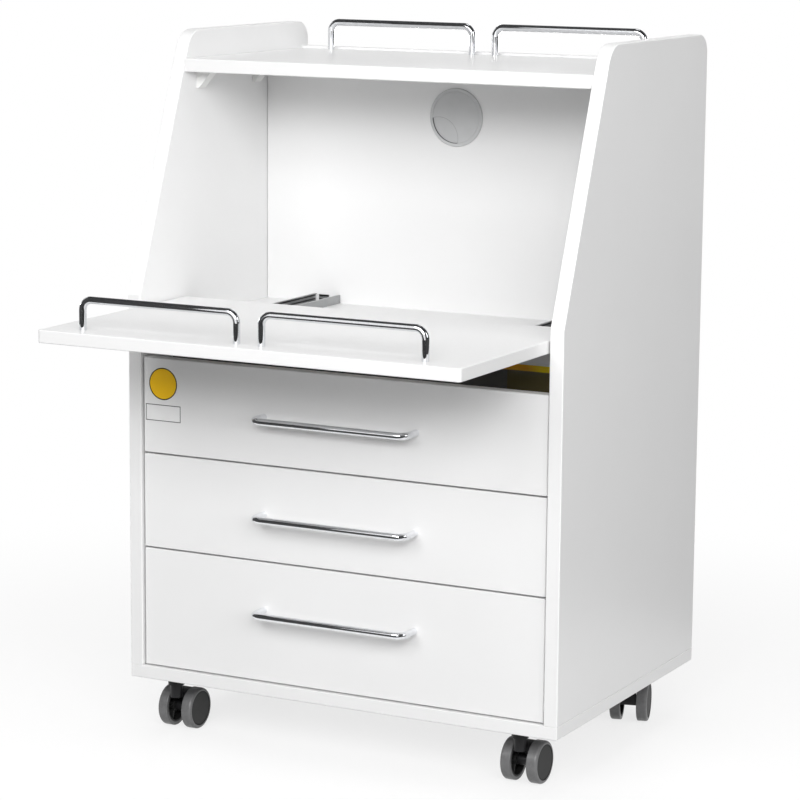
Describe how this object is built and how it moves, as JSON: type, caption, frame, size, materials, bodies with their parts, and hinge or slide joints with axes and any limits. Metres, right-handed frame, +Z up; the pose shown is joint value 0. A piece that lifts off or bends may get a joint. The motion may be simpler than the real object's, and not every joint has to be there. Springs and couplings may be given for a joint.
{
  "type": "mobile dental treatment cabinet",
  "caption": "White mobile treatment cabinet: desk bay with pull-out railed worktop over drawers, the top one UV-lit, on twin-wheel castors.",
  "frame": {"origin": "on the floor under the middle of the whole outline, with the worktop pulled out", "axes": "+X to the cabinet's right as seen from the front, -Y out of the front, +Z up"},
  "size_m": [0.54, 0.5946, 0.8105],
  "materials": {
    "melamine": "white melamine-faced board, smooth satin",
    "drawer_board": "white foil-wrapped board",
    "tray_board": "thin white lacquered board",
    "chrome_wire": "bright chrome plate",
    "zinc_steel": "bright zinc plate",
    "white_plastic": "fine matt",
    "grey_plastic": "fine matt light grey",
    "black_plastic": "satin black",
    "castor_wheel": "grey tread over a dark core",
    "black_steel": "matt black powder coat",
    "quartz_glass": "clear quartz tube",
    "ballast_case": "white paint",
    "amber_acrylic": "clear amber sheet, polished"
  },
  "bodies": {
    "carcass": {"back_panel": "melamine", "bottom_panel": "melamine", "castor_front_left_plate": "zinc_steel", "castor_front_right_plate": "zinc_steel", "castor_rear_left_plate": "zinc_steel", "castor_rear_right_plate": "zinc_steel", "compartment_back": "melamine", "corner_blocks": "white_plastic", "drawer_slides_outer": "zinc_steel", "fixed_shelf": "melamine", "grommet_ring": "grey_plastic", "mains_inlet": "black_plastic", "side_panel_left": "melamine", "side_panel_right": "melamine", "top_panel": "melamine", "top_rail_left": "chrome_wire", "top_rail_right": "chrome_wire", "uv_ballast": "ballast_case", "uv_lamp_tray": "black_steel", "uv_lampholders": "white_plastic", "uv_shield": "amber_acrylic", "uv_tube": "quartz_glass", "worktop_slide_outer_left": "zinc_steel", "worktop_slide_outer_right": "zinc_steel"},
    "worktop": {"worktop_board": "melamine", "worktop_rail_left": "chrome_wire", "worktop_rail_right": "chrome_wire", "worktop_slides_inner": "zinc_steel"},
    "worktop_middle": {"worktop_slides_middle": "zinc_steel"},
    "grommet_lid": {"grommet_lid": "grey_plastic"},
    "inlet_rocker": {"inlet_rocker": "black_plastic"},
    "drawer_1": {"drawer_1_front": "melamine", "drawer_1_handle": "chrome_wire", "drawer_1_box": "drawer_board", "drawer_1_tray": "tray_board", "drawer_1_slide_members": "zinc_steel"},
    "drawer_2": {"drawer_2_front": "melamine", "drawer_2_handle": "chrome_wire", "drawer_2_box": "drawer_board", "drawer_2_tray": "tray_board", "drawer_2_slide_members": "zinc_steel"},
    "drawer_3": {"drawer_3_front": "melamine", "drawer_3_handle": "chrome_wire", "drawer_3_box": "drawer_board", "drawer_3_tray": "tray_board", "drawer_3_slide_members": "zinc_steel"},
    "castor_front_left": {"castor_front_left_hood": "black_plastic"},
    "castor_front_left_left_wheel": {"castor_front_left_wheel_left": "castor_wheel"},
    "castor_front_left_right_wheel": {"castor_front_left_wheel_right": "castor_wheel"},
    "castor_front_right": {"castor_front_right_hood": "black_plastic"},
    "castor_front_right_left_wheel": {"castor_front_right_wheel_left": "castor_wheel"},
    "castor_front_right_right_wheel": {"castor_front_right_wheel_right": "castor_wheel"},
    "castor_rear_left": {"castor_rear_left_hood": "black_plastic"},
    "castor_rear_left_left_wheel": {"castor_rear_left_wheel_left": "castor_wheel"},
    "castor_rear_left_right_wheel": {"castor_rear_left_wheel_right": "castor_wheel"},
    "castor_rear_right": {"castor_rear_right_hood": "black_plastic"},
    "castor_rear_right_left_wheel": {"castor_rear_right_wheel_left": "castor_wheel"},
    "castor_rear_right_right_wheel": {"castor_rear_right_wheel_right": "castor_wheel"}
  },
  "joints": [
    {"name": "worktop_slide", "type": "slide", "parent": "carcass", "child": "worktop", "axis": [0, 1, 0], "range_m": [0, 0.19]},
    {"name": "worktop_middle_slide", "type": "slide", "parent": "carcass", "child": "worktop_middle", "axis": [0, 1, 0], "range_m": [0, 0.095]},
    {"name": "drawer_1_slide", "type": "slide", "parent": "carcass", "child": "drawer_1", "axis": [0, -1, 0], "range_m": [0, 0.22]},
    {"name": "drawer_2_slide", "type": "slide", "parent": "carcass", "child": "drawer_2", "axis": [0, -1, 0], "range_m": [0, 0.22]},
    {"name": "drawer_3_slide", "type": "slide", "parent": "carcass", "child": "drawer_3", "axis": [0, -1, 0], "range_m": [0, 0.22]},
    {"name": "castor_front_left_swivel", "type": "hinge", "parent": "carcass", "child": "castor_front_left", "pos_m": [-0.2308, -0.05425, 0.0575], "axis": [0, 0, 1], "continuous": true},
    {"name": "castor_front_left_left_roll", "type": "hinge", "parent": "castor_front_left", "child": "castor_front_left_left_wheel", "pos_m": [-0.2467, -0.03625, 0.024], "axis": [1, 0, 0], "continuous": true},
    {"name": "castor_front_left_right_roll", "type": "hinge", "parent": "castor_front_left", "child": "castor_front_left_right_wheel", "pos_m": [-0.2149, -0.03625, 0.024], "axis": [1, 0, 0], "continuous": true},
    {"name": "castor_front_right_swivel", "type": "hinge", "parent": "carcass", "child": "castor_front_right", "pos_m": [0.2104, -0.05425, 0.0575], "axis": [0, 0, 1], "continuous": true},
    {"name": "castor_front_right_left_roll", "type": "hinge", "parent": "castor_front_right", "child": "castor_front_right_left_wheel", "pos_m": [0.1945, -0.03625, 0.024], "axis": [1, 0, 0], "continuous": true},
    {"name": "castor_front_right_right_roll", "type": "hinge", "parent": "castor_front_right", "child": "castor_front_right_right_wheel", "pos_m": [0.2263, -0.03625, 0.024], "axis": [1, 0, 0], "continuous": true},
    {"name": "castor_rear_left_swivel", "type": "hinge", "parent": "carcass", "child": "castor_rear_left", "pos_m": [-0.2308, 0.25975, 0.0575], "axis": [0, 0, 1], "continuous": true},
    {"name": "castor_rear_left_left_roll", "type": "hinge", "parent": "castor_rear_left", "child": "castor_rear_left_left_wheel", "pos_m": [-0.2149, 0.24175, 0.024], "axis": [-1, 0, 0], "continuous": true},
    {"name": "castor_rear_left_right_roll", "type": "hinge", "parent": "castor_rear_left", "child": "castor_rear_left_right_wheel", "pos_m": [-0.2467, 0.24175, 0.024], "axis": [-1, 0, 0], "continuous": true},
    {"name": "castor_rear_right_swivel", "type": "hinge", "parent": "carcass", "child": "castor_rear_right", "pos_m": [0.2104, 0.25975, 0.0575], "axis": [0, 0, 1], "continuous": true},
    {"name": "castor_rear_right_left_roll", "type": "hinge", "parent": "castor_rear_right", "child": "castor_rear_right_left_wheel", "pos_m": [0.23042, 0.24648, 0.024], "axis": [-0.9659, -0.2588, 0], "continuous": true},
    {"name": "castor_rear_right_right_roll", "type": "hinge", "parent": "castor_rear_right", "child": "castor_rear_right_right_wheel", "pos_m": [0.1997, 0.23825, 0.024], "axis": [-0.9659, -0.2588, 0], "continuous": true},
    {"name": "grommet_lid_turn", "type": "hinge", "parent": "carcass", "child": "grommet_lid", "pos_m": [0, 0.19525, 0.705], "axis": [0, 1, 0], "range_deg": [0, 180]},
    {"name": "inlet_rocker_tilt", "type": "hinge", "parent": "carcass", "child": "inlet_rocker", "pos_m": [-0.175, 0.29025, 0.411], "axis": [1, 0, 0], "range_deg": [-8, 8]}
  ],
  "couplings": [
    {"joint": "worktop_middle_slide", "follows": "worktop_slide", "ratio": 0.5}
  ]
}
